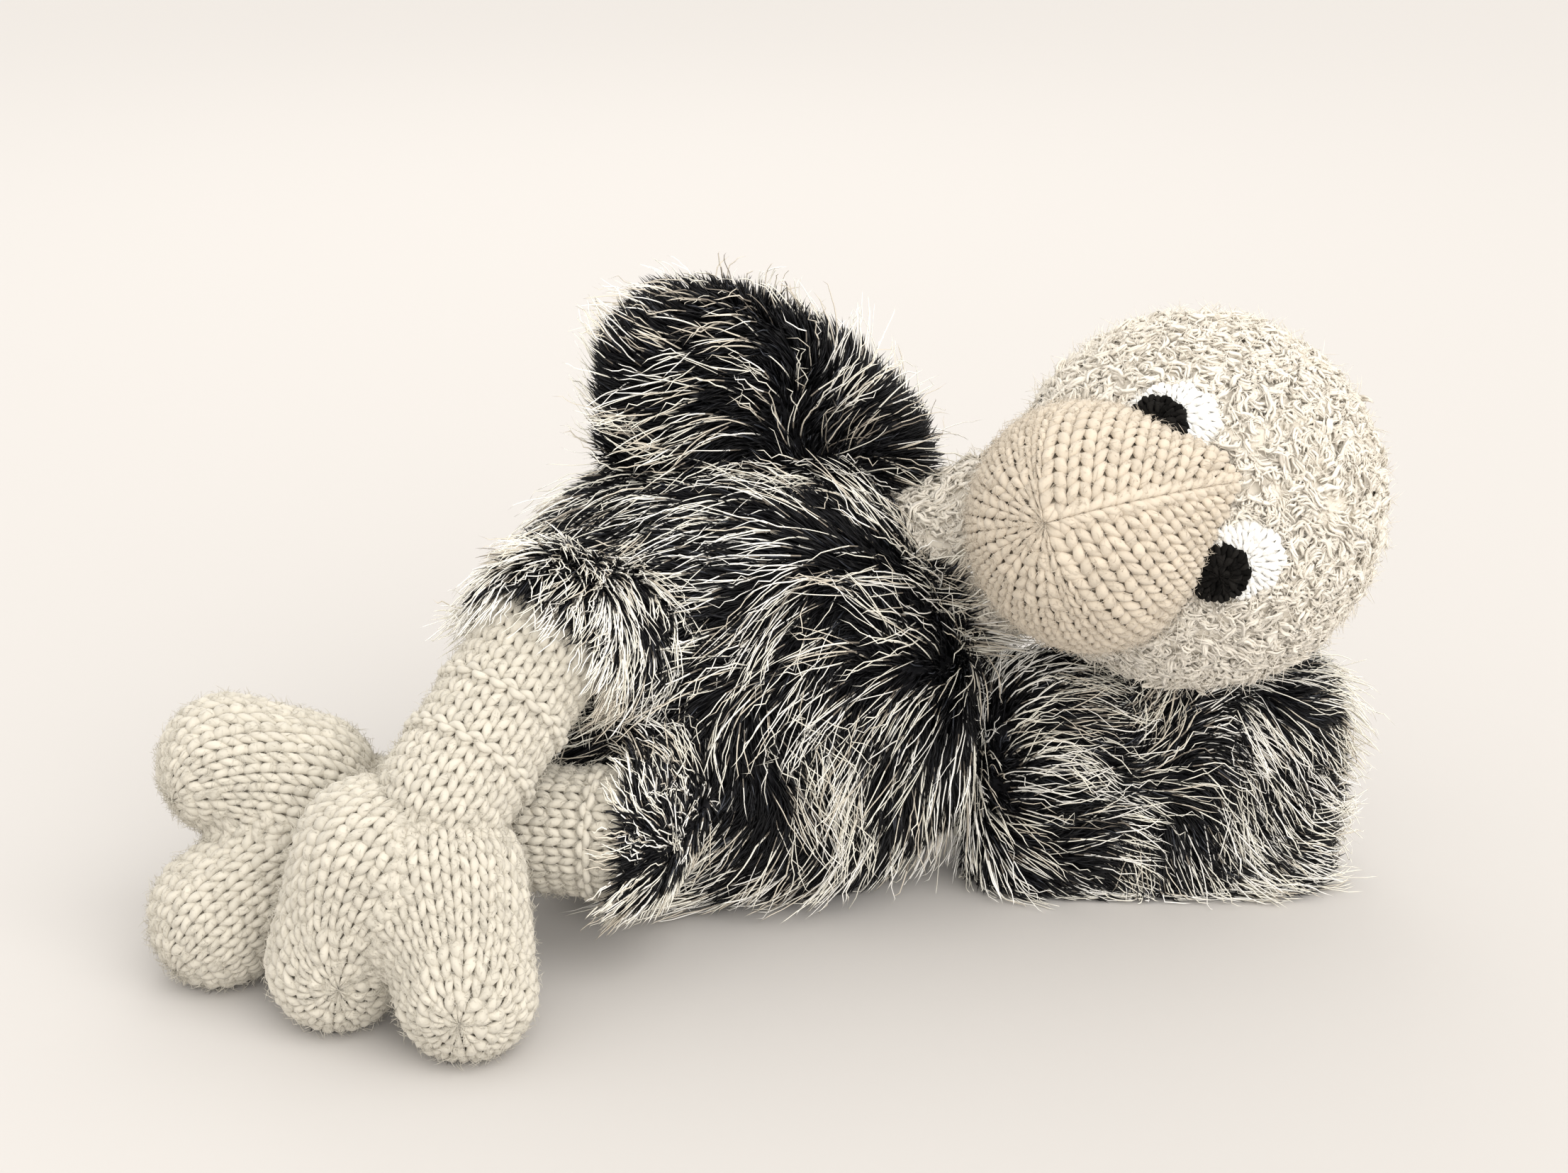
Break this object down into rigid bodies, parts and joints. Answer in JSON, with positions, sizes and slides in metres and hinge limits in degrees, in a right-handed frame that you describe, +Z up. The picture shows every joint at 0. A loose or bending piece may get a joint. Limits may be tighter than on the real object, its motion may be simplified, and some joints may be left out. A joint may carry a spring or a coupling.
{
  "type": "stuffed toy bird",
  "caption": "Hand-knitted stuffed ostrich lying on its side, with a furry body and wings, a loopy head, a big soft beak, crocheted eyes and two-toed feet.",
  "frame": {"origin": "middle of the footprint, on the flat surface that the bird lies on", "axes": "+Z up, +X from the feet towards the head, -Y the side that the chest and beak face"},
  "size_m": [0.2988, 0.1622, 0.1473],
  "materials": {
    "fur": "knitted eyelash yarn, black with long ivory strands",
    "fleece": "loopy pale warm-grey yarn",
    "beak_yarn": "taupe stocking stitch",
    "leg_yarn": "light grey-beige stocking stitch",
    "eye_white": "white crochet",
    "eye_black": "black crochet",
    "stuffing": "polyester fibre filling"
  },
  "bodies": {
    "body": {"body_cover": "fur", "body_filling": "stuffing"},
    "neck": {"neck_cover": "fleece", "neck_filling": "stuffing"},
    "head": {"head_cover": "fleece", "head_filling": "stuffing", "beak_cover": "beak_yarn", "beak_filling": "stuffing", "eye_white_right": "eye_white", "eye_pupil_right": "eye_black", "eye_white_left": "eye_white", "eye_pupil_left": "eye_black"},
    "right_wing": {"wing_cover_right": "fur", "wing_filling_right": "stuffing"},
    "left_wing": {"wing_cover_left": "fur", "wing_filling_left": "stuffing"},
    "right_leg": {"leg_cover_right": "leg_yarn", "leg_filling_right": "stuffing"},
    "right_foot": {"foot_cover_right": "leg_yarn", "foot_filling_right": "stuffing"},
    "left_leg": {"leg_cover_left": "leg_yarn", "leg_filling_left": "stuffing"},
    "left_foot": {"foot_cover_left": "leg_yarn", "foot_filling_left": "stuffing"}
  },
  "joints": [
    {"name": "neck_bend", "type": "hinge", "parent": "body", "child": "neck", "pos_m": [0.04185, 0.0351, 0.084], "axis": [0, 0, 1], "range_deg": [-20, 20]},
    {"name": "head_turn", "type": "hinge", "parent": "neck", "child": "head", "pos_m": [0.10385, 0.0271, 0.1018], "axis": [0.9539, -0.1231, 0.2739], "range_deg": [-25, 25]},
    {"name": "right_wing_lift", "type": "hinge", "parent": "body", "child": "right_wing", "pos_m": [0.03185, 0.0411, 0.108], "axis": [0, 1, 0], "range_deg": [0, 25]},
    {"name": "left_wing_sweep", "type": "hinge", "parent": "body", "child": "left_wing", "pos_m": [0.06685, 0.0271, 0.025], "axis": [0, 0, 1], "range_deg": [-20, 20]},
    {"name": "right_hip", "type": "hinge", "parent": "body", "child": "right_leg", "pos_m": [-0.05315, -0.0139, 0.083], "axis": [-0.806, 0.5919, 0], "range_deg": [0, 45]},
    {"name": "right_ankle", "type": "hinge", "parent": "right_leg", "child": "right_foot", "pos_m": [-0.07665, -0.0459, 0.053], "axis": [-0.806, 0.5919, 0], "range_deg": [0, 40]},
    {"name": "left_hip", "type": "hinge", "parent": "body", "child": "left_leg", "pos_m": [-0.03815, -0.0239, 0.0345], "axis": [0, 0, -1], "range_deg": [0, 15]},
    {"name": "left_ankle", "type": "hinge", "parent": "left_leg", "child": "left_foot", "pos_m": [-0.09115, -0.0149, 0.035], "axis": [0, 0, -1], "range_deg": [0, 25]}
  ]
}
